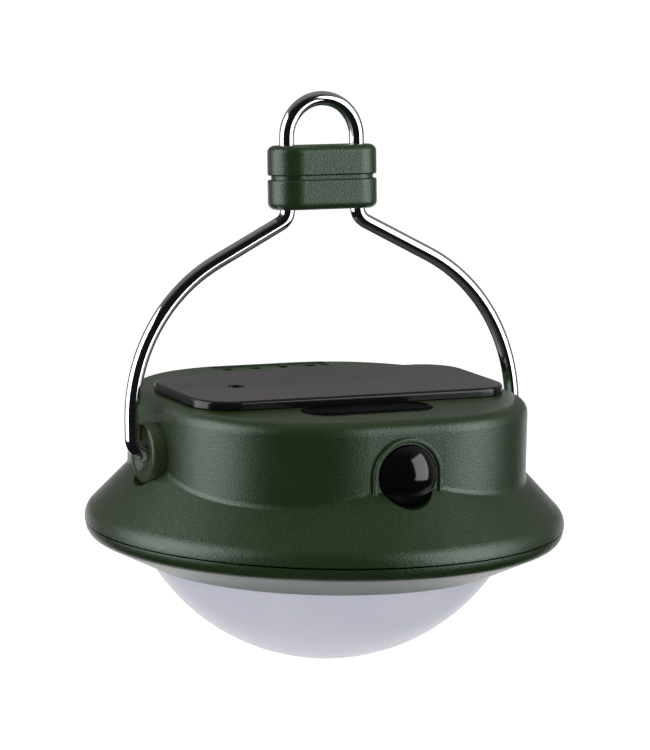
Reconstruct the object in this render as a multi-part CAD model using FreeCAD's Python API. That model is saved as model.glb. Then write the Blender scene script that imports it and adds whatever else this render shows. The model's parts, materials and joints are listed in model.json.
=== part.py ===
import FreeCAD, Part
import math
import os

# Solar hanging lantern. Millimetres and degrees, +Z up, the button faces -Y, the bail turns about X,
# and the origin is the lowest point of the light dome.

# Battery and its cradle
cell_d = 18.4
cell_len = 65.0
cell_y = 10.0
cell_clear = 0.3
cell_room = 3.6
nub_d = 6.0
nub_h = 1.2
terminal_t = 0.6
terminal_w = 9.2
cradle_wall = 2.2
cradle_floor = 2.0
lug_w = 10.0
lug_len = 6.4
post_h = 5.0
strap_w = 12.0
strap_t = 1.4

# Upper housing
wall = 2.4
roof = 3.0
roof_clear = 3.67
drum_corner_r = 33.0
drum_side = 14.57
drum_edge_r = 3.0
drum_foot_r = 1.4
brim_foot = 2.4
brim_edge_r = 4.5
rim_w = 4.9
parting_gap = 0.4

# Lower ring
ring_side = 0.22
ring_inset = 0.2
ring_lip = 0.7
ring_slope = 25.0
ring_edge_r = 3.2
ring_fit = 0.4
tongue_h = 2.0
tongue_t = 1.5
snap_clear = 0.2
bead_z = 0.8
bead_h = 0.4
bead_bite = 0.3

# Light dome
dome_depth = 22.65
dome_wall = 1.6
flange_w = 6.0
flange_t = 1.8
flange_gap = 2.2
flange_lift = 0.25
seal_t = 1.2

# Screws: shank and head, air round a shank, wall round a shank, and spare depth under a tip
screw_r = 1.2
head_r = 2.3
head_h = 1.3
screw_clear = 0.3
pilot_clear = 0.05
stud_wall = 1.5
screw_spare = 1.0

# Reflector plate
plate_t = 1.6
plate_clear = 0.4
boss_r = 3.0
boss_inset = 0.7
plate_screw_len = 9.0

# Light board
led_board_t = 1.2
led_board_gap = 1.3
led_board_edge = 1.69
led_screw_gap = 1.0
led_screw_aside = 4.1
led_boss_h = 4.0
led_size = (3.5, 2.8, 0.7)
led_counts = (8, 16)
led_ring_r = (11.0, 20.5)

# Charging ports under the rubber cover
port_x = -1.9
port_len = 31.6
port_w = 11.2
port_inset = 17.2
port_depth = 3.8
port_floor = 1.8
port_rim = 2.0
cover_gap = 0.35
cover_lift = 0.2
cover_proud = 0.5
cover_hinge_x = 3.6
cover_edge_r = 0.6
cover_dish = 0.3
cover_border = 1.3
stem_r = 1.2
stem_len = 4.0
usb_a_aside = -3.0
usb_a_size = (14.5, 7.2)
usb_c_size = (9.0, 3.4)
socket_gap = 0.85
socket_wall = 0.4
socket_clear = 0.25
socket_base = 1.9
blade_sink = 0.8
blade_side = 1.2
blade_t = 1.4

# Solar panel
panel_x = 77.2
panel_y = 36.6
panel_gap = 0.45
panel_corner_r = 9.0
panel_t = 1.9
panel_edge_r = 0.8
panel_fit = 0.1
pad_t = 0.2
pad_inset = 2.0
backing_t = 0.8
backing_inset = 0.8
strip_count = 6
strip_gap = 0.7
strip_t = 0.25
strip_margin = 2.4
lens_x = -22.8
lens_y = 0.0
lens_d = 3.6
lens_sink = 0.35
lens_clear = 0.1

# Push button and its switch
button_d = 13.5
button_drop = 12.1
button_clear = 0.25
button_travel = 1.2
button_proud = 3.2
button_flange = 1.3
button_flange_t = 1.4
button_boss_wall = 1.9
button_seat = 4.9
seat_gap = 0.1
arch_rim = 1.1
arch_margin = 0.4
arch_proud = 0.9
arch_sink = 0.55
arch_edge_r = 0.35
switch_size = (8.0, 4.0, 6.2)
switch_rise = 2.4
switch_gap = 0.7
plunger_r = 1.6
plunger_len = 2.4
plunger_clear = 0.05

# Control board
board_y = 22.0
board_gap = 1.17
board_t = 1.6
board_post_r = 2.8
board_post_inset = 2.9
board_screw_len = 6.0
board_chips = ((-11.0, -6.0, 5.0, 4.0, 1.4), (12.0, -5.0, 6.0, 6.0, 3.0), (-4.0, -5.0, 4.0, 4.0, 1.0))

# Charge indicator
window_x = 1.6
window_count = 4
window_pitch = 7.1
window_size = (2.2, 2.6)
window_back = 6.6
window_sink = 0.25
window_clear = 0.1
recess_end = 2.85
recess_side = 1.6
recess_depth = 0.35
guide_end = 0.3
guide_bar = (4.2, 1.2)
lamp_board = (4.8, 1.0)
lamp_board_drop = 4.4
lamp_size = (2.0, 1.4, 0.7)
lamp_post_r = 2.0
lamp_screw_len = 4.0
lamp_post_gap = 0.4
lamp_post_inset = 2.6

# Bail, its ears and collar
wire_d = 3.5
wire_run = 0.08
wire_tail = 1.6
hinge_drop = 12.1
bail_gap = 0.45
bail_lean = 5.0
bail_bend_r = 3.6
bail_side = 4.03
bail_arc_r = 39.0
bail_slope = 27.0
leg_half = 8.75
loop_lift = 1.7
ear_r = 7.0
ear_t = 3.1
ear_edge = 0.9
ear_dish_r = 4.7
ear_dish = 1.1
ear_lobe_r = 3.1
ear_lobe_rise = 3.6
ear_gap = 0.15
spigot_r = 4.4
spigot_fit = 0.05
clip_r = 4.6
clip_t = 0.9
clip_gap = 0.4
collar_wall = 2.6
collar_y = 12.0
collar_h = 14.6
collar_lift = 2.17
collar_edge_r = 1.7
collar_groove_w = 0.9
collar_groove = 0.8
collar_lip_r = 0.45
collar_grip = 0.02

# Leads
lead_r = 0.6
lead_bend_r = 1.8
lead_rise = 4.0
lead_step = 4.0
lead_pitch = 2.2
connector = (5.6, 3.4, 4.0)
connector_pitch = 16.8
connector_inset = 0.6
panel_lead_place = (-12.0, -4.0)
lamp_lead_place = (0.0, -20.0)

# How far a cut runs past the face it opens, the share of a side that its rounding may take,
# and how near counts as touching
overcut = 1.0
edge_share = 0.95
touch = 0.0001

# Widths that follow: the drum's from the cell, and the dome's and brim's from the light board outwards
tray_end = cell_len / 2 + nub_h + terminal_t + cradle_wall
inner_half = tray_end + cell_room
drum_half = inner_half + wall
cradle_half = cell_d / 2 + cell_clear + cradle_wall
stud_r = screw_r + stud_wall
led_screw_x = lug_w / 2 + stud_r + led_screw_aside
led_screw_y = cell_y + cradle_half + stud_r + led_screw_gap
led_board_r = math.hypot(led_screw_x, led_screw_y) + head_r + led_board_edge
boss_ring_r = led_board_r + led_board_gap + head_r
boss_at = boss_ring_r / math.sqrt(2)
neck_in_r = boss_ring_r + head_r + boss_inset
neck_r = neck_in_r + dome_wall
dome_r = (neck_r ** 2 + dome_depth ** 2) / (2 * dome_depth)
flange_r = neck_r + flange_w
tongue_in_r = flange_r + flange_gap
tongue_r = tongue_in_r + tongue_t
rim_in_r = tongue_r + snap_clear
bead_r = rim_in_r + bead_bite
groove_r = bead_r + 2 * snap_clear
brim_r = rim_in_r + rim_w
ring_open_r = neck_r + ring_fit
ring_lip_r = ring_open_r + ring_lip
ring_out_r = brim_r - ring_inset
board_x = 2 * (boss_at - boss_r - board_gap)
bail_half = drum_half + ear_t + bail_gap + wire_d / 2
collar_x = 2 * (leg_half + wire_d / 2 + collar_wall)
arch_half = button_d / 2 + button_clear + arch_margin + arch_rim
lead_hole_r = 2 * lead_r + lead_pitch / 2 + screw_clear

# Heights that follow, from the dome upwards
ring_rise = math.tan(math.radians(ring_slope))
ring_skin = wall / math.cos(math.radians(ring_slope))
ring_edge_reach = ring_edge_r * math.tan(math.radians(90 - ring_slope) / 2)
ring_face_z = dome_depth + (ring_out_r - ring_lip_r) * ring_rise + ring_edge_reach + ring_side
parting_z = ring_face_z + parting_gap / 2
rim_z = parting_z + parting_gap / 2
brim_top = parting_z + brim_foot
groove_z = parting_z + bead_z
flange_z = dome_depth + (flange_r - ring_lip_r) * ring_rise + ring_skin + flange_lift
plate_z = flange_z + flange_t + seal_t
plate_top = plate_z + plate_t
cell_z = plate_top + cradle_floor + cell_clear + cell_d / 2
ceiling_z = cell_z + cell_d / 2 + cell_clear + strap_t + roof_clear
top_z = ceiling_z + roof
foot_z = top_z - drum_side
cone_rise = (foot_z - brim_top) / (brim_r - drum_half)
port_floor_z = top_z - port_depth
pad_z = top_z + pad_t
hinge_z = top_z - hinge_drop
button_z = top_z - button_drop
board_z = button_z - switch_rise
board_under = board_z - board_t
lamp_board_z = ceiling_z - lamp_board_drop
battery_lead_z = board_z + lead_r + pilot_clear

# Places that follow
CORNERS = [(sx, sy) for sx in (-1, 1) for sy in (-1, 1)]
port_y = port_inset - drum_half
usb_a_x = port_x + usb_a_aside
usb_c_x = usb_a_x + usb_a_size[0] / 2 + socket_gap + usb_c_size[0] / 2
cover_split_x = port_x + cover_hinge_x - port_len / 2
stem_x = port_x + cover_hinge_x / 2 - port_len / 2
panel_mid_y = port_y + port_w / 2 + panel_gap + panel_y / 2
button_back_y = button_seat + seat_gap + button_flange_t - drum_half
switch_y = button_back_y + button_travel + switch_gap
board_mid_y = switch_y + board_y / 2
window_y = drum_half - window_back
window_span = (window_count - 1) * window_pitch + window_size[0]
window_places = [window_x + (i - (window_count - 1) / 2) * window_pitch for i in range(window_count)]
guide_len = window_span + 2 * guide_end
lamp_post_x = guide_len / 2 + lamp_post_r + lamp_post_gap
lamp_posts = [(window_x + side * lamp_post_x, window_y) for side in (-1, 1)]
boss_places = [(sx * boss_at, sy * boss_at) for sx, sy in CORNERS]
post_x = board_x / 2 - board_post_inset
post_y = board_y / 2 - board_post_inset
board_posts = [(sx * post_x, board_mid_y + sy * post_y) for sx, sy in CORNERS]
lug_places = [(0, cell_y + side * (cradle_half + lug_len / 2)) for side in (-1, 1)]
led_places = [(sx * led_screw_x, sy * led_screw_y) for sx, sy in CORNERS]
connector_x = [side * connector_pitch / 2 for side in (-1, 1)]
connector_y = board_mid_y + board_y / 2 - connector[1] / 2 - connector_inset


def vec(x, y, z):
    return FreeCAD.Vector(x, y, z)


UP = vec(0, 0, 1)
DOWN = vec(0, 0, -1)
ALONG = vec(1, 0, 0)
INTO = vec(0, 1, 0)
OUTWARD = vec(0, -1, 0)


def flat(u, v):
    return vec(u, v, 0)


def upright(u, v):
    return vec(u, 0, v)


def rounded_edges(points, closed):
    """Straight runs through (point, radius) pairs, with a tangent arc at each corner that has a radius."""
    count = len(points)
    arcs = {}
    ends = []
    for i, (point, radius) in enumerate(points):
        if radius == 0:
            ends.append((point, point))
            continue
        before = (points[i - 1][0] - point).normalize()
        after = (points[(i + 1) % count][0] - point).normalize()
        half = before.getAngle(after) / 2
        reach = radius / math.tan(half)
        inward = (before + after).normalize()
        crown = point + inward * (radius / math.sin(half) - radius)
        start = point + before * reach
        finish = point + after * reach
        arcs[i] = Part.Arc(start, crown, finish).toShape()
        ends.append((start, finish))
    chain = []
    for i in range(count):
        if i in arcs:
            chain.append(arcs[i])
        if i + 1 < count or closed:
            start = ends[i][1]
            finish = ends[(i + 1) % count][0]
            if start.distanceToPoint(finish) > touch:
                chain.append(Part.LineSegment(start, finish).toShape())
    return chain


def outline(corners, place):
    """A closed face through (u, v) or (u, v, radius) corners."""
    points = [(place(c[0], c[1]), c[2] if len(c) > 2 else 0) for c in corners]
    return Part.Face(Part.Wire(rounded_edges(points, True)))


def turned(corners):
    """A solid of revolution about Z from (radius, height) corners."""
    return outline(corners, upright).revolve(vec(0, 0, 0), UP, 360)


def prism(corners, low, high):
    face = outline(corners, flat)
    face.translate(vec(0, 0, low))
    return face.extrude(vec(0, 0, high - low))


def rectangle(x, y, width, depth, radius=0):
    a = width / 2
    b = depth / 2
    return [(x - a, y - b, radius), (x + a, y - b, radius), (x + a, y + b, radius), (x - a, y + b, radius)]


def slab(x, y, width, depth, low, high, radius=0):
    return prism(rectangle(x, y, width, depth, radius), low, high)


def rod(radius, start, direction, length):
    return Part.makeCylinder(radius, length, start, direction)


def posts(radius, places, low, high):
    """Upright round bars at (x, y) places."""
    return [rod(radius, vec(x, y, low), UP, high - low) for x, y in places]


def drilled(shape, radius, places, low, high):
    """The shape with an upright round hole at each (x, y) place."""
    return shape.cut(Part.makeCompound(posts(radius, places, low, high)))


def hinge_rod(radius, side, near, far):
    """A round bar on the bail's axis, between two distances from the middle plane."""
    return rod(radius, vec(side * near, 0, hinge_z), vec(side, 0, 0), far - near)


def level_edges(shape, height):
    """The edges of a shape that lie flat at one height."""
    boxes = [(e, e.BoundBox) for e in shape.Edges]
    return [e for e, box in boxes if abs(box.ZMin - height) < touch and abs(box.ZMax - height) < touch]


def lies_on(edge, solid):
    """Whether the middle of an edge is on the surface of a solid."""
    middle = edge.valueAt((edge.FirstParameter + edge.LastParameter) / 2)
    return solid.Shells[0].distToShape(Part.Vertex(middle))[0] < touch


def bowl_edge(radius, rim_r, low, place):
    """A round edge from the axis, at its low point, out to a rim."""
    sweep = math.asin(rim_r / radius)
    turns = (0, sweep / 2, sweep)
    points = [place(radius * math.sin(a), low + radius - radius * math.cos(a)) for a in turns]
    return Part.Arc(*points).toShape()


def run_edges(corners, place):
    """Straight edges from each (u, v) corner to the next."""
    points = [place(u, v) for u, v in corners]
    return [Part.LineSegment(a, b).toShape() for a, b in zip(points, points[1:])]


def screw(seat, direction, length):
    """A pan-head screw whose head sits on the seat and whose shank runs along the direction."""
    head = rod(head_r, seat, direction * -1, head_h)
    return head.fuse(rod(screw_r, seat, direction, length)).removeSplitter()


def swept(path, radius):
    """A round wire along straight runs with tangent arcs, through (point, radius) pairs."""
    wire = Part.Wire(rounded_edges(path, False))
    section = Part.Wire(Part.makeCircle(radius, path[0][0], path[1][0] - path[0][0]))
    return wire.makePipeShell([section], True, True)


def lead(*points):
    """A thin insulated wire with the same bend at every turn."""
    last = len(points) - 1
    return swept([(p, lead_bend_r if 0 < i < last else 0) for i, p in enumerate(points)], lead_r)


def lean_back(shape):
    shape.rotate(vec(0, 0, hinge_z), ALONG, -bail_lean)
    return shape


def save(name, *solids):
    shape = solids[0] if len(solids) == 1 else Part.makeCompound(list(solids))
    shape.exportStep("parts/" + name + ".step")


def save_screws(name, places, seat_z, direction, length):
    save(name, *[screw(vec(x, y, seat_z), direction, length) for x, y in places])


def cone_z(radius):
    """Height of the brim's sloping top at a radius."""
    return brim_top + (brim_r - radius) * cone_rise


def ring_z(radius):
    """Height of the ring's sloping underside at a radius."""
    return dome_depth + (radius - ring_lip_r) * ring_rise


def port_outline(shrink):
    width = port_w - 2 * shrink
    return rectangle(port_x, port_y, port_len - 2 * shrink, width, width / 2)


def arch_plate(shrink, near, far):
    """The arch-topped pad round the button, between two distances in front of the axis."""
    half = arch_half - shrink
    peak = button_z + half
    low = cone_z(drum_half + arch_proud) - arch_proud
    face = outline([(-half, low), (half, low), (half, peak, half), (-half, peak, half)], upright)
    face.translate(vec(0, -near, 0))
    return face.extrude(vec(0, near - far, 0))


def housing_skin():
    """The outside of the brim, drum and button pad as one solid."""
    turn = math.pi / 2 - math.atan(cone_rise)
    edge_r = min(brim_edge_r, edge_share * (brim_top - rim_z) / math.tan(turn / 2))
    brim = turned([(0, rim_z), (brim_r, rim_z), (brim_r, brim_top, edge_r),
                   (inner_half, cone_z(inner_half)), (0, cone_z(inner_half))])
    drum = slab(0, 0, 2 * drum_half, 2 * drum_half, rim_z, top_z, drum_corner_r)
    drum = drum.makeFillet(drum_edge_r, level_edges(drum, top_z))
    skin = brim.fuse(drum).removeSplitter()
    foot = [e for e in skin.Edges if lies_on(e, brim) and lies_on(e, drum)]
    skin = skin.makeFillet(drum_foot_r, foot)
    face_y = drum_half + arch_proud
    pad = arch_plate(0, inner_half + wall / 2, face_y)
    pad = pad.cut(arch_plate(arch_rim, face_y - arch_sink, face_y + overcut))
    rim = [e for e in pad.Edges if abs(e.BoundBox.YMax + face_y) < touch]
    return skin.fuse(pad.makeFillet(arch_edge_r, rim))


def housing_hollow():
    """The room under the brim, with the groove for the ring's bead, and the room in the drum."""
    drop = wall * math.sqrt(1 + cone_rise ** 2)
    groove_top = groove_z + tongue_h / 2
    room = turned([(0, rim_z - overcut), (rim_in_r, rim_z - overcut), (rim_in_r, groove_z),
                   (groove_r, groove_z), (groove_r, groove_top),
                   (rim_in_r, groove_top + groove_r - rim_in_r), (rim_in_r, cone_z(rim_in_r) - drop),
                   (inner_half, cone_z(inner_half) - drop), (0, cone_z(inner_half) - drop)])
    return room.fuse(slab(0, 0, 2 * inner_half, 2 * inner_half, rim_z, ceiling_z, drum_corner_r - wall))


def housing_inside():
    """Screw posts, the port's cup and the button's guide, grown from the inside of the walls."""
    root_z = ceiling_z + roof / 2
    cup = slab(port_x, port_y, port_len + 2 * port_rim, port_w + 2 * port_rim, port_floor_z - port_floor, root_z,
               port_w / 2 + port_rim)
    guide = rod(button_d / 2 + button_clear + button_boss_wall, vec(0, button_seat - drum_half, button_z),
                OUTWARD, button_seat)
    inside = posts(boss_r, boss_places, plate_top, root_z)
    inside += posts(board_post_r, board_posts, board_z, root_z)
    inside += posts(lamp_post_r, lamp_posts, lamp_board_z, root_z)
    return cup.multiFuse(inside + [guide])


def socket_hole(x, size, radius):
    gap = 2 * socket_clear
    return slab(x, port_y, size[0] + gap, size[1] + gap, port_floor_z - port_floor - overcut,
                port_floor_z + cover_lift, radius)


def housing_holes():
    pilot_r = screw_r + pilot_clear
    port_low = port_floor_z - port_floor - overcut
    recess = slab(window_x, window_y, window_span + 2 * recess_end, window_size[1] + 2 * recess_side,
                  top_z - recess_depth, top_z + overcut)
    holes = [prism(port_outline(0), port_floor_z, top_z + overcut), recess,
             socket_hole(usb_a_x, usb_a_size, 0), socket_hole(usb_c_x, usb_c_size, usb_c_size[1] / 2),
             rod(button_d / 2 + button_clear, vec(0, -inner_half + button_seat, button_z), OUTWARD, brim_r)]
    holes += posts(stem_r, [(stem_x, port_y)], port_low, port_floor_z + overcut)
    holes += posts(lead_hole_r, [panel_lead_place], ceiling_z - overcut, top_z + overcut)
    for x in window_places:
        holes.append(slab(x, window_y, window_size[0], window_size[1], ceiling_z - overcut, top_z))
    for side in (-1, 1):
        holes.append(hinge_rod(ear_r + ear_gap, side, drum_half, brim_r))
        holes.append(hinge_rod(spigot_r + spigot_fit, side, inner_half - overcut, drum_half + overcut))
    holes += posts(pilot_r, boss_places, plate_top, plate_top + plate_screw_len)
    holes += posts(pilot_r, board_posts, board_z, board_z + board_screw_len)
    holes += posts(pilot_r, lamp_posts, lamp_board_z, lamp_board_z + lamp_screw_len)
    return holes


def make_upper_housing():
    skin = housing_skin()
    body = skin.cut(housing_hollow()).fuse(housing_inside().common(skin))
    holes = housing_holes()
    save("upper_housing", body.cut(holes[0].multiFuse(holes[1:])))


def make_lower_ring():
    crest_z = parting_z + tongue_h
    side_r = ring_out_r - wall
    hub_r = ring_open_r + wall
    bead_top = groove_z + bead_h
    save("lower_ring", turned([
        (ring_open_r, dome_depth), (ring_lip_r, dome_depth), (ring_out_r, ring_z(ring_out_r), ring_edge_r),
        (ring_out_r, ring_face_z), (side_r, ring_face_z), (side_r, ring_z(side_r) + ring_skin),
        (tongue_r, ring_z(tongue_r) + ring_skin), (tongue_r, groove_z), (bead_r, groove_z),
        (bead_r, bead_top), (tongue_r, bead_top + bead_r - tongue_r),
        (tongue_r, crest_z), (tongue_in_r, crest_z),
        (tongue_in_r, ring_z(tongue_in_r) + ring_skin), (hub_r, ring_z(hub_r) + ring_skin),
        (hub_r, flange_z), (ring_open_r, flange_z)]))


def make_diffuser():
    inner_r = dome_r - dome_wall
    inner_z = dome_r - math.sqrt(inner_r ** 2 - neck_in_r ** 2)
    flange_top = flange_z + flange_t
    edges = [bowl_edge(dome_r, neck_r, 0, upright), bowl_edge(inner_r, neck_in_r, dome_wall, upright)]
    edges += run_edges([(neck_r, dome_depth), (neck_r, flange_z), (flange_r, flange_z),
                        (flange_r, flange_top), (neck_in_r, flange_top), (neck_in_r, inner_z)], upright)
    edges += run_edges([(0, dome_wall), (0, 0)], upright)
    face = Part.Face(Part.Wire(Part.__sortEdges__(edges)))
    save("diffuser", face.revolve(vec(0, 0, 0), UP, 360))
    save("diffuser_seal", turned([(neck_in_r, flange_top), (flange_r, flange_top),
                                  (flange_r, plate_z), (neck_in_r, plate_z)]))


def make_light_unit():
    """Reflector plate, light board, lamps and their screws."""
    pilot_r = screw_r + pilot_clear
    hole_r = screw_r + screw_clear
    stud_top = plate_top + led_boss_h
    plate_low = plate_z - overcut
    plate_high = plate_top + overcut
    plate = rod(tongue_in_r - plate_clear, vec(0, 0, plate_z), UP, plate_t)
    plate = plate.multiFuse(posts(stud_r, led_places, plate_top, stud_top)
                            + posts(stud_r, lug_places, plate_top, plate_top + post_h))
    plate = drilled(plate, pilot_r, led_places, plate_low, stud_top + overcut)
    plate = drilled(plate, pilot_r, lug_places, plate_z + plate_t / 2, plate_top + post_h + overcut)
    plate = drilled(plate, hole_r, boss_places, plate_low, plate_high)
    plate = drilled(plate, lead_hole_r, [lamp_lead_place], plate_low, plate_high)
    save("reflector_plate", plate)
    save_screws("reflector_screws", boss_places, plate_z, UP, plate_t + plate_screw_len - screw_spare)

    board_low = plate_z - led_board_t
    board = rod(led_board_r, vec(0, 0, board_low), UP, led_board_t)
    save("led_board", drilled(board, hole_r, led_places, board_low - overcut, plate_z + overcut))
    save_screws("led_board_screws", led_places, board_low, UP, stud_top - board_low - screw_spare)
    lamps = []
    for count, radius in zip(led_counts, led_ring_r):
        for i in range(count):
            lamp = slab(radius, 0, led_size[1], led_size[0], board_low - led_size[2], board_low)
            lamp.rotate(vec(0, 0, 0), UP, 360 * i / count)
            lamps.append(lamp)
    save("leds", *lamps)


def make_battery():
    end = cell_len / 2
    cell = rod(cell_d / 2, vec(-end, cell_y, cell_z), ALONG, cell_len)
    cell = cell.fuse(rod(nub_d / 2, vec(end, cell_y, cell_z), ALONG, nub_h))
    save("battery_cell", cell.removeSplitter())

    bed_r = cell_d / 2 + cell_clear
    pocket_low = -end - terminal_t
    pocket_high = end + nub_h + terminal_t
    pocket = pocket_high - pocket_low
    middle = (pocket_low + pocket_high) / 2
    cradle = slab(middle, cell_y, pocket + 2 * cradle_wall, 2 * cradle_half, plate_top, cell_z)
    for x, y in lug_places:
        cradle = cradle.fuse(slab(x, y, lug_w, lug_len, plate_top + post_h, cell_z))
    cradle = cradle.cut(rod(bed_r, vec(pocket_low, cell_y, cell_z), ALONG, pocket))
    cradle = drilled(cradle, screw_r + screw_clear, lug_places, plate_top, cell_z + overcut)
    cradle = drilled(cradle, stud_r + screw_clear, lug_places, plate_top - overcut, plate_top + post_h)
    save("battery_cradle", cradle.removeSplitter())

    tab_low = cell_z - terminal_w / 2
    tab_high = battery_lead_z + 2 * lead_r
    tab_places = [pocket_low + terminal_t / 2, pocket_high - terminal_t / 2]
    save("battery_terminals",
         *[slab(x, cell_y, terminal_t, terminal_w, tab_low, tab_high) for x in tab_places])

    strap_top = cell_z + strap_t
    foot_end = cradle_half + lug_len
    strap = rod(bed_r + strap_t, vec(-strap_w / 2, cell_y, cell_z), ALONG, strap_w)
    strap = strap.fuse(slab(0, cell_y, lug_w, 2 * foot_end, cell_z, strap_top))
    strap = strap.cut(rod(bed_r, vec(-strap_w, cell_y, cell_z), ALONG, 2 * strap_w))
    strap = strap.cut(slab(0, cell_y, 2 * strap_w, 2 * foot_end, cell_z - 2 * bed_r, cell_z))
    strap = drilled(strap, screw_r + screw_clear, lug_places, cell_z - overcut, strap_top + overcut)
    save("battery_strap", strap.removeSplitter())
    save_screws("battery_screws", lug_places, strap_top, DOWN, strap_top - plate_top)


def make_socket(name, x, size, radius):
    """A metal shell on the control board, with its insulating tongue."""
    width = size[0] - 2 * socket_wall
    depth = size[1] - 2 * socket_wall
    bore_r = max(radius - socket_wall, 0)
    base_top = board_z + socket_base
    shell = slab(x, port_y, size[0], size[1], board_z, port_floor_z, radius)
    bore = slab(x, port_y, width, depth, board_z - overcut, port_floor_z + overcut, bore_r)
    save(name + "_shell", shell.cut(bore))
    base = slab(x, port_y, width, depth, board_z, base_top, bore_r)
    blade = slab(x, port_y, width - 2 * blade_side, blade_t, base_top, port_floor_z - blade_sink)
    save(name + "_tongue", base.fuse(blade).removeSplitter())


def make_control_board():
    board = slab(0, board_mid_y, board_x, board_y, board_under, board_z)
    board = drilled(board, screw_r + screw_clear, board_posts, board_under - overcut, board_z + overcut)
    save("control_board", board)
    save_screws("control_board_screws", board_posts, board_under, UP, board_t + board_screw_len - screw_spare)
    make_socket("usb_output", usb_a_x, usb_a_size, 0)
    make_socket("usb_charge", usb_c_x, usb_c_size, usb_c_size[1] / 2)
    save("board_components", *[slab(x, board_mid_y + y, width, depth, board_under - height, board_under)
                               for x, y, width, depth, height in board_chips])
    width, depth, height = connector
    save("lead_connectors", *[slab(x, connector_y, width, depth, board_z, board_z + height)
                              for x in connector_x])


def make_button():
    back = button_back_y
    rim = -drum_half - arch_proud
    face = rim - button_proud
    radius = button_d / 2
    crown_r = (radius ** 2 + button_proud ** 2) / (2 * button_proud)
    flange = radius + button_flange
    edges = [bowl_edge(crown_r, radius, face, flat)]
    edges += run_edges([(radius, rim), (radius, back - button_flange_t), (flange, back - button_flange_t),
                        (flange, back), (0, back), (0, face)], flat)
    cap = Part.Face(Part.Wire(edges)).revolve(vec(0, 0, 0), INTO, 360)
    cap.translate(vec(0, 0, button_z))
    save("button_cap", cap)

    tip_y = switch_y + plunger_len
    save("switch_plunger", rod(plunger_r, vec(0, back, button_z), INTO, tip_y - back))
    width, depth, height = switch_size
    body = slab(0, switch_y + depth / 2, width, depth, board_z, board_z + height)
    room = tip_y + button_travel + plunger_clear - switch_y
    save("switch_body", body.cut(rod(plunger_r + plunger_clear, vec(0, switch_y, button_z), INTO, room)))


def make_leads():
    """Pairs of wires: panel to board, battery to board, and board to lamps."""
    plug_z = board_z + connector[2]
    turn_z = plug_z + lead_rise
    mid_z = (plate_top + board_under) / 2
    panel_x_place, panel_y_place = panel_lead_place
    lamp_x_place, lamp_y_place = lamp_lead_place
    step_y = lamp_y_place - lead_step
    solar = []
    light = []
    for shift in (-lead_pitch / 2, lead_pitch / 2):
        start_x = panel_x_place + shift
        end_x = connector_x[0] + shift
        solar.append(lead(vec(start_x, panel_y_place, pad_z), vec(start_x, panel_y_place, turn_z),
                          vec(end_x, connector_y, turn_z), vec(end_x, connector_y, plug_z)))
        x = lamp_x_place + shift
        light.append(lead(vec(x, lamp_y_place, plate_z), vec(x, lamp_y_place, mid_z - lead_step / 2),
                          vec(x, step_y, mid_z + lead_step / 2), vec(x, step_y, board_under)))
    save("solar_leads", *solar)
    save("led_leads", *light)

    z = battery_lead_z
    face_y = connector_y + connector[1] / 2
    run_y = face_y + lead_step
    power = []
    for side, end in ((-1, cell_len / 2), (1, cell_len / 2 + nub_h)):
        out_x = side * (end + terminal_t + lead_r)
        in_x = connector_x[1] + side * lead_pitch / 2
        power.append(lead(vec(out_x, cell_y, z), vec(out_x, run_y, z), vec(in_x, run_y, z),
                          vec(in_x, face_y, z)))
    save("battery_leads", *power)


def make_indicator():
    depth, height = guide_bar
    guide = slab(window_x, window_y, guide_len, depth, ceiling_z - height, ceiling_z)
    tip_x = window_size[0] - 2 * window_clear
    tip_y = window_size[1] - 2 * window_clear
    tip_z = top_z - recess_depth - window_sink
    tips = [slab(x, window_y, tip_x, tip_y, ceiling_z - height / 2, tip_z) for x in window_places]
    save("indicator_light_guide", guide.multiFuse(tips).removeSplitter())

    depth, thick = lamp_board
    low = lamp_board_z - thick
    board = slab(window_x, window_y, 2 * (lamp_post_x + lamp_post_inset), depth, low, lamp_board_z)
    board = drilled(board, screw_r + screw_clear, lamp_posts, low - overcut, lamp_board_z + overcut)
    save("indicator_board", board)
    save_screws("indicator_screws", lamp_posts, low, UP, thick + lamp_screw_len - screw_spare)
    width, depth, height = lamp_size
    save("indicator_lamps", *[slab(x, window_y, width, depth, lamp_board_z, lamp_board_z + height)
                              for x in window_places])


def make_panel():
    y = panel_mid_y
    pad_x = panel_x - 2 * pad_inset
    pad_y = panel_y - 2 * pad_inset
    pad = slab(0, y, pad_x, pad_y, top_z, pad_z, panel_corner_r - pad_inset)
    save("panel_pad", drilled(pad, lead_hole_r, [panel_lead_place], top_z - overcut, pad_z + overcut))

    backing_x = panel_x - 2 * backing_inset
    backing_y = panel_y - 2 * backing_inset
    backing_r = panel_corner_r - backing_inset
    backing_top = pad_z + backing_t
    save("panel_backing", slab(0, y, backing_x, backing_y, pad_z, backing_top, backing_r))

    lens_hole = rod(lens_d / 2 + lens_clear, vec(lens_x, lens_y, backing_top), UP, panel_t)
    field_x = backing_x - 2 * strip_margin
    strip_y = backing_y - 2 * strip_margin
    strip_x = (field_x + strip_gap) / strip_count - strip_gap
    strip_top = backing_top + strip_t
    strips = []
    for i in range(strip_count):
        x = -field_x / 2 + strip_x / 2 + i * (strip_x + strip_gap)
        strips.append(slab(x, y, strip_x, strip_y, backing_top, strip_top).cut(lens_hole))
    save("solar_cells", *strips)

    panel_top = pad_z + panel_t
    cover = slab(0, y, panel_x, panel_y, pad_z, panel_top, panel_corner_r)
    cover = cover.makeFillet(panel_edge_r, level_edges(cover, panel_top))
    room = slab(0, y, backing_x + 2 * panel_fit, backing_y + 2 * panel_fit, pad_z - overcut, strip_top,
                backing_r + panel_fit)
    save("panel_cover", cover.cut(room).cut(lens_hole))
    lens_h = panel_top - lens_sink - backing_top
    save("charge_lens", rod(lens_d / 2, vec(lens_x, lens_y, backing_top), UP, lens_h))


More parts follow.
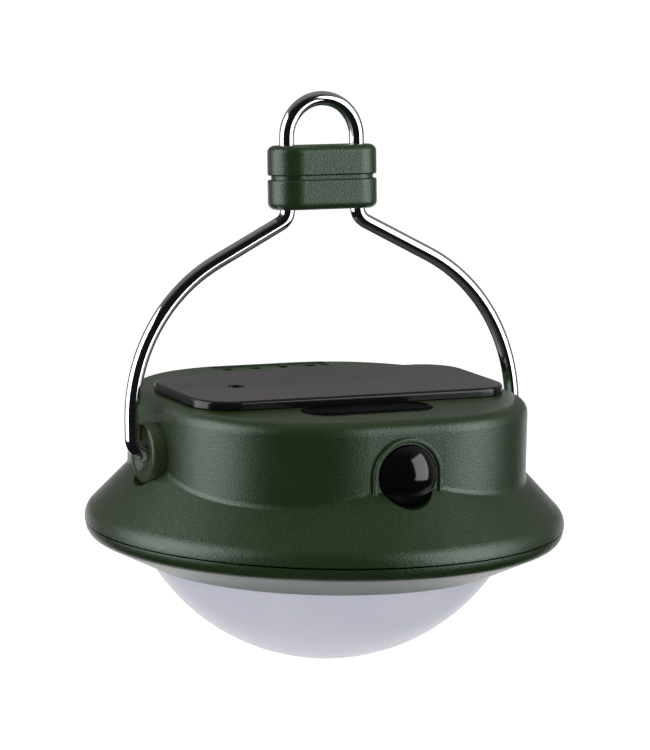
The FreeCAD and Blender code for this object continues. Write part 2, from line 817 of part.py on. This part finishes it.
def make_port_cover():
    low = port_floor_z + cover_lift
    high = top_z + cover_proud
    whole = prism(port_outline(cover_gap), low, high)
    whole = whole.makeFillet(cover_edge_r, level_edges(whole, high))
    dish = prism(port_outline(cover_gap + cover_border), high - cover_dish, high + overcut)
    whole = whole.cut(dish)
    halves = [slab(cover_split_x + side * port_len / 2, port_y, port_len - cover_gap, 2 * port_w,
                   low - overcut, high + overcut) for side in (-1, 1)]
    stem = rod(stem_r - pilot_clear, vec(stem_x, port_y, low - stem_len), UP, stem_len)
    save("usb_cover_anchor", whole.common(halves[0]).fuse(stem))
    save("usb_cover", whole.common(halves[1]))


def make_ears():
    reach = drum_half + ear_t
    floor = reach - ear_dish
    for name, side in (("pivot_ear_left", -1), ("pivot_ear_right", 1)):
        ear = turned([(0, inner_half), (spigot_r, inner_half), (spigot_r, drum_half), (ear_r, drum_half),
                      (ear_r, reach, ear_edge), (ear_dish_r, reach), (ear_dish_r - ear_dish, floor),
                      (0, floor)])
        ear.rotate(vec(0, 0, 0), INTO, 90 * side)
        ear.translate(vec(0, 0, hinge_z))
        lobe = hinge_rod(ear_lobe_r, side, floor, reach + overcut)
        lobe.translate(vec(0, 0, ear_lobe_rise))
        bore = hinge_rod(wire_d / 2 + wire_run, side, inner_half - overcut, reach + overcut)
        save(name, ear.cut(lobe).cut(bore))


def make_bail():
    tail = inner_half - clip_gap - clip_t - wire_tail
    slope = math.radians(bail_slope)
    shoulder_h = bail_bend_r + bail_side + bail_arc_r * math.tan((math.pi / 2 - slope) / 2)
    throat_h = shoulder_h + (bail_half - leg_half) * math.tan(slope)
    collar_low = throat_h + collar_lift
    loop_top = collar_low + collar_h + loop_lift + leg_half
    half = [(tail, 0, 0), (bail_half, 0, bail_bend_r), (bail_half, shoulder_h, bail_arc_r),
            (leg_half, throat_h, bail_bend_r), (leg_half, loop_top, leg_half)]
    full = half + [(-x, h, r) for x, h, r in reversed(half)]
    path = [(vec(x, 0, hinge_z + h), r) for x, h, r in full]
    save("bail_wire", lean_back(swept(path, wire_d / 2)))

    clip_face = inner_half - clip_gap
    clips = []
    for side in (-1, 1):
        clip = hinge_rod(clip_r, side, clip_face - clip_t, clip_face)
        clips.append(clip.cut(hinge_rod(wire_d / 2, side, clip_face - clip_t - overcut, inner_half)))
    save("bail_clips", *clips)

    low = hinge_z + collar_low
    high = low + collar_h
    band_low = (low + high - collar_groove_w) / 2
    core_x = collar_x - 2 * collar_groove
    core_y = collar_y - 2 * collar_groove
    collar = slab(0, 0, collar_x, collar_y, low, high, collar_y / 2)
    collar = collar.makeFillet(collar_edge_r, level_edges(collar, low) + level_edges(collar, high))
    band = slab(0, 0, collar_x + overcut, collar_y + overcut, band_low, band_low + collar_groove_w)
    collar = collar.cut(band.cut(slab(0, 0, core_x, core_y, low, high, core_y / 2)))
    lips = level_edges(collar, band_low) + level_edges(collar, band_low + collar_groove_w)
    lips = [e for e in lips if max(e.BoundBox.XMax - core_x / 2, -e.BoundBox.XMin - core_x / 2,
                                   e.BoundBox.YMax - core_y / 2, -e.BoundBox.YMin - core_y / 2) > touch]
    collar = collar.makeFillet(collar_lip_r, lips)
    legs = [(side * leg_half, 0) for side in (-1, 1)]
    collar = drilled(collar, wire_d / 2 + collar_grip, legs, low - overcut, high + overcut)
    save("bail_collar", lean_back(collar))


def main():
    os.makedirs("parts", exist_ok=True)
    make_upper_housing()
    make_lower_ring()
    make_diffuser()
    make_light_unit()
    make_battery()
    make_control_board()
    make_button()
    make_leads()
    make_indicator()
    make_panel()
    make_port_cover()
    make_ears()
    make_bail()


main()
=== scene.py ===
import json
import math

import bpy
from mathutils import Matrix, Vector


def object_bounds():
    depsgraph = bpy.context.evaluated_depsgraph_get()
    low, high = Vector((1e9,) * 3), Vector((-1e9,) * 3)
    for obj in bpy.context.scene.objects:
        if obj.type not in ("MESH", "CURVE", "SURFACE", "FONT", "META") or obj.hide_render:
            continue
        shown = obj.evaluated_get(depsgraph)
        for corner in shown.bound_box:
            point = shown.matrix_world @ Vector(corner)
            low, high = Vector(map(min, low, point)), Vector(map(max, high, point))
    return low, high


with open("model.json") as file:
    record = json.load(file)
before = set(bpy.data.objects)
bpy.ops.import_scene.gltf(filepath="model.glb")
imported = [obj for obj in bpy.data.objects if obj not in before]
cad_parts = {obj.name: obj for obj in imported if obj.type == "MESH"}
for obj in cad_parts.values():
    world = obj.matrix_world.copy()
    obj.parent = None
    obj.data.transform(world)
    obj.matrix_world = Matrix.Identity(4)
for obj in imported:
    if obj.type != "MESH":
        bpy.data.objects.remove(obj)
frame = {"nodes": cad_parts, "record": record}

# Looks of the hanging lantern, in metres: a finish for every piece,
# a plain studio and the photograph's camera.

MM = 0.001
cad_low, cad_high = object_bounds()
middle = Vector((0, 0, (cad_low.z + cad_high.z) / 2))

# Camera: degrees, metres, and the focal length in pixels of a 650 x 750 image
IMAGE_W, IMAGE_H = 650, 750
VIEW_AZIMUTH = -25.0
VIEW_ELEVATION = 9.25
VIEW_ROLL = 1.28
VIEW_DISTANCE = 0.95
FOCAL_PX = 4160
TARGET_ASIDE = -0.0006
TARGET_Z = 0.0651
SENSOR_MM = 36.0
CLIP_NEAR = 0.01
CLIP_FAR = 100.0

# Floor: how far below the lantern it lies, its colours, and a glow that grows with distance from the lantern
FLOOR_DROP = 0.30
FLOOR_HALF = 8.0
FLOOR_CLOUD = 0.8
FLOOR_LOW = (0.64, 0.64, 0.64)
FLOOR_HIGH = (0.66, 0.66, 0.66)
FLOOR_NEAR = 0.35
FLOOR_FAR = 1.0
FLOOR_GLOW_NEAR = 0.20
FLOOR_GLOW_FAR = 0.92
floor_z = cad_low.z - FLOOR_DROP

# Room, which only reflections see: its opening is given by half its angle in degrees
ROOM_RADIUS = 2.0
ROOM_STEPS = 48
ROOM_LIFT = 0.005
ROOM_GAP = 29.0
ROOM_OPEN_BANDS = 2
ROOM_DIM = (0.008, 0.008, 0.009)
ROOM_PALE = (0.210, 0.195, 0.205)
ROOM_PALE_ELEVATION = 30.0
ROOM_PALE_FROM = 0.0
ROOM_PALE_TO = 0.70

# Lamps: softboxes by the directions they fill, and fills by their direction and level, in degrees
AMBIENT = 0.20
SOFTBOX_DISTANCE = 0.9
SOFTBOX_GLOW = 2.7
SOFTBOXES = {
    "left_softbox": {"azimuths": (-128.0, -75.0), "elevations": (-16.0, 44.0)},
    "right_softbox": {"azimuths": (26.0, 72.0), "elevations": (-16.0, 41.0)},
}
FILL_DISTANCE = 0.75
FILL_SIZE = 0.5
FILLS = {
    "front_fill": {"azimuth": VIEW_AZIMUTH, "elevation": -22.0, "level": 0.46},
    "back_fill": {"azimuth": VIEW_AZIMUTH + 180, "elevation": 5.0, "level": 0.40},
    "top_fill": {"azimuth": VIEW_AZIMUTH, "elevation": 85.0, "level": 1.0},
}

# Finishes: clouds of colour in features per metre, and the depth of the finest relief
MOULDING_CLOUD = 70.0
METAL_CLOUD = 240.0
PANEL_CLOUD = 45.0
DOME_CLOUD = 30.0
FINE_DEPTH_MM = 0.01

# Panel cover: the upward part of the surface's direction where its edge ends and where its face begins
PANEL_EDGE_ENDS = 0.985
PANEL_FACE_BEGINS = 0.999
PANEL_EDGE = (0.006, 0.006, 0.007, 1)
PANEL_FACE_LOW = (0.030, 0.028, 0.031)
PANEL_FACE_HIGH = (0.036, 0.033, 0.036)
PANEL_EDGE_ROUGH = 0.15
PANEL_FACE_ROUGH = 0.34

# Light dome
DOME_LOW = (0.474, 0.480, 0.552)
DOME_HIGH = (0.494, 0.500, 0.568)
DOME_RADIUS = (1.0, 0.95, 1.0)

MOULDINGS = {
    "housing_green": dict(low=(0.0085, 0.0198, 0.0040), high=(0.0102, 0.0224, 0.0054), rough=(0.26, 0.34),
                          grain_mm=0.36, depth_mm=0.09, strength=1.0,
                          Specular_IOR_Level=0.92, Specular_Tint=(0.84, 1.0, 0.93, 1.0)),
    "ear_green": dict(low=(0.022, 0.030, 0.015), high=(0.028, 0.036, 0.019), rough=(0.22, 0.32),
                      grain_mm=0.40, depth_mm=0.02, strength=0.15, Specular_IOR_Level=0.45),
    "white_plastic": dict(low=(0.78, 0.78, 0.76), high=(0.84, 0.84, 0.82), rough=(0.36, 0.50),
                          grain_mm=0.40, depth_mm=0.02, strength=0.15),
    "seal_rubber": dict(low=(0.050, 0.050, 0.050), high=(0.075, 0.075, 0.075), rough=(0.70, 0.90),
                        grain_mm=0.30, depth_mm=0.04, strength=0.40),
    "board": dict(low=(0.012, 0.110, 0.045), high=(0.018, 0.150, 0.062), rough=(0.28, 0.42),
                  grain_mm=0.50, depth_mm=0.02, strength=0.20),
    "lamp": dict(low=(0.82, 0.72, 0.30), high=(0.92, 0.84, 0.42), rough=(0.20, 0.32),
                 grain_mm=0.30, depth_mm=0.01, strength=0.10),
    "cell_wrap": dict(low=(0.050, 0.150, 0.400), high=(0.070, 0.190, 0.460), rough=(0.22, 0.34),
                      grain_mm=0.80, depth_mm=0.02, strength=0.10),
    "black_plastic": dict(low=(0.014, 0.014, 0.014), high=(0.022, 0.022, 0.022), rough=(0.38, 0.52),
                          grain_mm=0.30, depth_mm=0.02, strength=0.20),
    "button_black": dict(low=(0.0012, 0.0012, 0.0015), high=(0.0020, 0.0020, 0.0024), rough=(0.10, 0.14),
                         grain_mm=0.60, depth_mm=0.01, strength=0.05, Specular_IOR_Level=0.6),
    "cover_rubber": dict(low=(0.0015, 0.0015, 0.0016), high=(0.0028, 0.0028, 0.0030), rough=(0.55, 0.65),
                         grain_mm=0.28, depth_mm=0.02, strength=0.22, Specular_IOR_Level=0.04),
    "panel_board": dict(low=(0.014, 0.014, 0.016), high=(0.022, 0.022, 0.024), rough=(0.40, 0.55),
                        grain_mm=0.40, depth_mm=0.02, strength=0.20),
    "silicon": dict(low=(0.010, 0.014, 0.045), high=(0.020, 0.026, 0.075), rough=(0.14, 0.24),
                    grain_mm=0.90, depth_mm=0.01, strength=0.08, Coat_Weight=0.6, Coat_Roughness=0.04),
    "dark_lens": dict(low=(0.006, 0.005, 0.005), high=(0.012, 0.010, 0.010), rough=(0.10, 0.16),
                      grain_mm=0.50, depth_mm=0.01, strength=0.05, Coat_Weight=0.5, Coat_Roughness=0.04),
    "smoked_guide": dict(low=(0.0020, 0.0024, 0.0020), high=(0.0036, 0.0042, 0.0036), rough=(0.30, 0.40),
                         grain_mm=0.40, depth_mm=0.01, strength=0.08, Specular_IOR_Level=0.1),
    "lead_sleeve": dict(low=(0.280, 0.014, 0.014), high=(0.360, 0.022, 0.020), rough=(0.38, 0.50),
                        grain_mm=0.30, depth_mm=0.02, strength=0.20),
}

METALS = {
    "bright_wire": dict(low=(0.80, 0.81, 0.82), high=(0.88, 0.88, 0.89), rough=(0.04, 0.09),
                        grain_mm=0.6, strength=0.04),
    "steel": dict(low=(0.48, 0.48, 0.46), high=(0.62, 0.62, 0.60), rough=(0.25, 0.40),
                  grain_mm=0.25, strength=0.20),
}


def add(tree, kind, inputs=None, **settings):
    """A new shader node with its settings and socket values."""
    node = tree.nodes.new(kind)
    for key, value in settings.items():
        setattr(node, key, value)
    for key, value in (inputs or {}).items():
        node.inputs[key].default_value = value
    return node


def new_material(name, **values):
    """A node material, with plain values set on the shader's own sockets."""
    made = bpy.data.materials.new(name)
    made.use_nodes = True
    shader = made.node_tree.nodes["Principled BSDF"]
    for key, value in values.items():
        shader.inputs[key.replace("_", " ")].default_value = value
    return made, made.node_tree, shader


def noise(tree, scale, detail=2.0, roughness=0.5):
    """Noise in the piece's own space, with scale in features per metre."""
    place = add(tree, "ShaderNodeTexCoord")
    texture = add(tree, "ShaderNodeTexNoise", {"Scale": scale, "Detail": detail, "Roughness": roughness})
    tree.links.new(place.outputs["Object"], texture.inputs["Vector"])
    return texture.outputs["Fac"]


def grain(tree, size_mm, roughness=0.5):
    """Fine noise, by the size of its features in millimetres."""
    return noise(tree, 1 / (size_mm * MM), roughness=roughness)


def ramp(tree, source, low, high, start=0.35, end=0.65):
    """Two colours blended along a value."""
    blend = add(tree, "ShaderNodeValToRGB")
    first, last = blend.color_ramp.elements
    first.position = start
    first.color = (*low, 1)
    last.position = end
    last.color = (*high, 1)
    tree.links.new(source, blend.inputs["Fac"])
    return blend.outputs["Color"]


def spread(tree, source, low, high, start=0.3, end=0.7):
    """A value moved to a new range."""
    limits = {"From Min": start, "From Max": end, "To Min": low, "To Max": high}
    node = add(tree, "ShaderNodeMapRange", limits)
    tree.links.new(source, node.inputs["Value"])
    return node.outputs["Result"]


def bump(tree, shader, source, depth_mm, strength):
    """Fine relief on a surface, with its depth in millimetres."""
    node = add(tree, "ShaderNodeBump", {"Strength": strength, "Distance": depth_mm * MM})
    tree.links.new(source, node.inputs["Height"])
    tree.links.new(node.outputs["Normal"], shader.inputs["Normal"])


def moulding(name, low, high, rough, grain_mm, depth_mm, strength, **values):
    """A moulded plastic or rubber with a fine grain and a slight cloud of colour."""
    made, tree, shader = new_material(name, **values)
    cloud = noise(tree, MOULDING_CLOUD, detail=3.0)
    tree.links.new(ramp(tree, cloud, low, high), shader.inputs["Base Color"])
    relief = grain(tree, grain_mm, roughness=0.6)
    tree.links.new(spread(tree, relief, *rough), shader.inputs["Roughness"])
    bump(tree, shader, relief, depth_mm, strength)
    return made


def metal(name, low, high, rough, grain_mm, strength):
    """A bright or satin metal with slight handling marks."""
    made, tree, shader = new_material(name, Metallic=1.0)
    cloud = noise(tree, METAL_CLOUD, detail=4.0)
    tree.links.new(ramp(tree, cloud, low, high), shader.inputs["Base Color"])
    tree.links.new(spread(tree, cloud, *rough), shader.inputs["Roughness"])
    bump(tree, shader, grain(tree, grain_mm), FINE_DEPTH_MM, strength)
    return made


def panel_finish(name):
    """A satin dark face, with a polished edge wherever the surface turns from level."""
    made, tree, shader = new_material(name)
    normal = add(tree, "ShaderNodeNewGeometry")
    level = add(tree, "ShaderNodeSeparateXYZ")
    tree.links.new(normal.outputs["Normal"], level.inputs["Vector"])
    face = spread(tree, level.outputs["Z"], 0.0, 1.0, PANEL_EDGE_ENDS, PANEL_FACE_BEGINS)
    cloud = noise(tree, PANEL_CLOUD, detail=3.0)
    top = ramp(tree, cloud, PANEL_FACE_LOW, PANEL_FACE_HIGH)
    mix = add(tree, "ShaderNodeMix", data_type="RGBA")
    tree.links.new(face, mix.inputs["Factor"])
    mix.inputs["A"].default_value = PANEL_EDGE
    tree.links.new(top, mix.inputs["B"])
    tree.links.new(mix.outputs["Result"], shader.inputs["Base Color"])
    rough = spread(tree, face, PANEL_EDGE_ROUGH, PANEL_FACE_ROUGH, 0.0, 1.0)
    tree.links.new(rough, shader.inputs["Roughness"])
    bump(tree, shader, grain(tree, 0.35), FINE_DEPTH_MM, strength=0.06)
    return made


def milky_finish(name):
    """Opal plastic that lets light in a little way, with a satin skin."""
    made, tree, shader = new_material(name, Roughness=0.38, IOR=1.46, Coat_Weight=0.12, Coat_Roughness=0.22,
                                      Subsurface_Weight=0.35, Subsurface_Scale=0.003,
                                      Subsurface_Radius=DOME_RADIUS)
    cloud = noise(tree, DOME_CLOUD)
    tree.links.new(ramp(tree, cloud, DOME_LOW, DOME_HIGH), shader.inputs["Base Color"])
    bump(tree, shader, grain(tree, 0.5), FINE_DEPTH_MM, strength=0.05)
    return made


def dress_nodes():
    """Gives every CAD node the finish of its material slot."""
    finishes = {"diffuser_white": milky_finish("diffuser_white"), "panel_black": panel_finish("panel_black")}
    for slot, values in MOULDINGS.items():
        finishes[slot] = moulding(slot, **values)
    for slot, values in METALS.items():
        finishes[slot] = metal(slot, **values)
    for part in frame["record"]["subparts"]:
        mesh = frame["nodes"][part["node"]].data
        mesh.materials.clear()
        mesh.materials.append(finishes[part["material_slot"]])


def link(thing):
    """Puts a new object in the scene."""
    bpy.context.scene.collection.objects.link(thing)
    return thing


def direction(azimuth, elevation):
    """The unit vector from the lantern towards a direction round it, in degrees."""
    a = math.radians(azimuth)
    e = math.radians(elevation)
    return Vector((math.sin(a) * math.cos(e), -math.cos(a) * math.cos(e), math.sin(e)))


def seen_past(tree):
    """One where the eye, a reflection or a see-through piece looks, and zero for other light."""
    path = add(tree, "ShaderNodeLightPath")
    seen = path.outputs["Is Camera Ray"]
    for ray in ("Is Glossy Ray", "Is Transmission Ray"):
        either = add(tree, "ShaderNodeMath", operation="MAXIMUM")
        tree.links.new(seen, either.inputs[0])
        tree.links.new(path.outputs[ray], either.inputs[1])
        seen = either.outputs["Value"]
    return seen


def floor_finish():
    """Pale and white to the eye: it takes the shadow near the lantern, and is clear from underneath."""
    made, tree, shader = new_material("floor_pale", Roughness=0.9, Specular_IOR_Level=0.1,
                                      Emission_Color=(1, 1, 1, 1))
    cloud = noise(tree, FLOOR_CLOUD)
    tree.links.new(ramp(tree, cloud, FLOOR_LOW, FLOOR_HIGH), shader.inputs["Base Color"])
    place = add(tree, "ShaderNodeTexCoord")
    reach = add(tree, "ShaderNodeVectorMath", operation="LENGTH")
    tree.links.new(place.outputs["Object"], reach.inputs[0])
    glow = spread(tree, reach.outputs["Value"], FLOOR_GLOW_NEAR, FLOOR_GLOW_FAR, FLOOR_NEAR, FLOOR_FAR)
    shown = add(tree, "ShaderNodeMath", operation="MULTIPLY")
    tree.links.new(glow, shown.inputs[0])
    tree.links.new(seen_past(tree), shown.inputs[1])
    tree.links.new(shown.outputs["Value"], shader.inputs["Emission Strength"])
    side = add(tree, "ShaderNodeNewGeometry")
    clear = add(tree, "ShaderNodeBsdfTransparent")
    sheet = add(tree, "ShaderNodeMixShader")
    tree.links.new(side.outputs["Backfacing"], sheet.inputs[0])
    tree.links.new(shader.outputs["BSDF"], sheet.inputs[1])
    tree.links.new(clear.outputs["BSDF"], sheet.inputs[2])
    tree.links.new(sheet.outputs["Shader"], tree.nodes["Material Output"].inputs["Surface"])
    return made


def make_floor():
    """A plain square floor under the hanging lantern."""
    square = ((-1, -1), (1, -1), (1, 1), (-1, 1))
    corners = [(x * FLOOR_HALF, y * FLOOR_HALF, floor_z) for x, y in square]
    mesh = bpy.data.meshes.new("floor")
    mesh.from_pydata(corners, [], [(0, 1, 2, 3)])
    mesh.materials.append(floor_finish())
    link(bpy.data.objects.new("floor", mesh))


def room_finish():
    """A dim glow that grows paler towards the back and overhead."""
    made, tree, shader = new_material("room_dim", Base_Color=(0, 0, 0, 1), Roughness=1.0,
                                      Specular_IOR_Level=0.0, Emission_Strength=1.0)
    place = add(tree, "ShaderNodeTexCoord")
    lean = add(tree, "ShaderNodeVectorMath", operation="DOT_PRODUCT")
    lean.inputs[1].default_value = direction(VIEW_AZIMUTH + 180, ROOM_PALE_ELEVATION) / ROOM_RADIUS
    tree.links.new(place.outputs["Object"], lean.inputs[0])
    glow = ramp(tree, lean.outputs["Value"], ROOM_DIM, ROOM_PALE, ROOM_PALE_FROM, ROOM_PALE_TO)
    tree.links.new(glow, shader.inputs["Emission Color"])
    return made


def make_room():
    """A round room that only reflections see, open behind the lantern to the bright floor."""
    low = floor_z + ROOM_LIFT
    rise = math.degrees(math.asin((low - middle.z) / ROOM_RADIUS))
    bands = ROOM_STEPS // 4
    rings = [(0.0, low)]
    for j in range(bands + 1):
        e = math.radians(rise + (90 - rise) * j / bands)
        rings.append((ROOM_RADIUS * math.cos(e), middle.z + ROOM_RADIUS * math.sin(e)))
    points = []
    for r, z in rings:
        for i in range(ROOM_STEPS):
            points.append(direction(360 * i / ROOM_STEPS, 0) * r + Vector((0, 0, z)))
    faces = []
    for j in range(len(rings) - 1):
        for i in range(ROOM_STEPS):
            aside = (360 * (i + 0.5) / ROOM_STEPS - VIEW_AZIMUTH) % 360 - 180
            if j < ROOM_OPEN_BANDS and abs(aside) < ROOM_GAP:
                continue
            k = (i + 1) % ROOM_STEPS
            first = j * ROOM_STEPS
            faces.append([first + i, first + k, first + ROOM_STEPS + k, first + ROOM_STEPS + i])
    mesh = bpy.data.meshes.new("room")
    mesh.from_pydata(points, [], faces)
    mesh.materials.append(room_finish())
    room = link(bpy.data.objects.new("room", mesh))
    room.visible_camera = False
    room.visible_diffuse = False
    room.visible_shadow = False


def make_lamp(name, data, azimuth, elevation, distance):
    """Places a lamp round the lantern's middle, facing it."""
    back = direction(azimuth, elevation)
    lamp = link(bpy.data.objects.new(name, data))
    lamp.location = middle + back * distance
    lamp.rotation_mode = "QUATERNION"
    lamp.rotation_quaternion = back.to_track_quat("Z", "Y")
    return lamp


def make_softbox(name, azimuths, elevations):
    """A tall soft lamp that fills a range of directions round the lantern's middle, in degrees."""
    data = bpy.data.lights.new(name, "AREA")
    data.shape = "RECTANGLE"
    data.size = 2 * SOFTBOX_DISTANCE * math.tan(math.radians(azimuths[1] - azimuths[0]) / 2)
    data.size_y = 2 * SOFTBOX_DISTANCE * math.tan(math.radians(elevations[1] - elevations[0]) / 2)
    data.energy = SOFTBOX_GLOW * math.pi * data.size * data.size_y
    make_lamp(name, data, sum(azimuths) / 2, sum(elevations) / 2, SOFTBOX_DISTANCE)


def make_fill(name, azimuth, elevation, level):
    """A soft lamp that reflections don't show; its level is the share of white on a surface facing it."""
    data = bpy.data.lights.new(name, "AREA")
    data.shape = "DISK"
    data.size = FILL_SIZE
    data.energy = level * (math.pi * FILL_DISTANCE) ** 2
    lamp = make_lamp(name, data, azimuth, elevation, FILL_DISTANCE)
    lamp.visible_glossy = False


def make_world():
    """White where the eye or a reflection looks past everything, and a soft fill for the rest."""
    world = bpy.data.worlds.new("studio")
    bpy.context.scene.world = world
    world.use_nodes = True
    tree = world.node_tree
    background = tree.nodes["Background"]
    background.inputs["Color"].default_value = (1, 1, 1, 1)
    strength = spread(tree, seen_past(tree), AMBIENT, 1.0, 0.0, 1.0)
    tree.links.new(strength, background.inputs["Strength"])


def make_camera():
    """The photograph's camera: a long lens a little above the lantern, rolled by a degree."""
    back = direction(VIEW_AZIMUTH, VIEW_ELEVATION)
    right = direction(VIEW_AZIMUTH + 90, 0)
    up = back.cross(right)
    turn = Matrix((right, up, back)).transposed() @ Matrix.Rotation(math.radians(VIEW_ROLL), 3, "Z")
    data = bpy.data.cameras.new("camera")
    data.sensor_width = SENSOR_MM
    data.lens = FOCAL_PX * SENSOR_MM / max(IMAGE_W, IMAGE_H)
    data.clip_start = CLIP_NEAR
    data.clip_end = CLIP_FAR
    camera = link(bpy.data.objects.new("camera", data))
    target = right * TARGET_ASIDE + Vector((0, 0, TARGET_Z))
    camera.matrix_world = Matrix.Translation(target + back * VIEW_DISTANCE) @ turn.to_4x4()
    bpy.context.scene.camera = camera


dress_nodes()
make_floor()
make_room()
for box_name, box in SOFTBOXES.items():
    make_softbox(box_name, **box)
for fill_name, fill in FILLS.items():
    make_fill(fill_name, **fill)
make_world()
make_camera()
bpy.context.scene.view_settings.view_transform = "Standard"
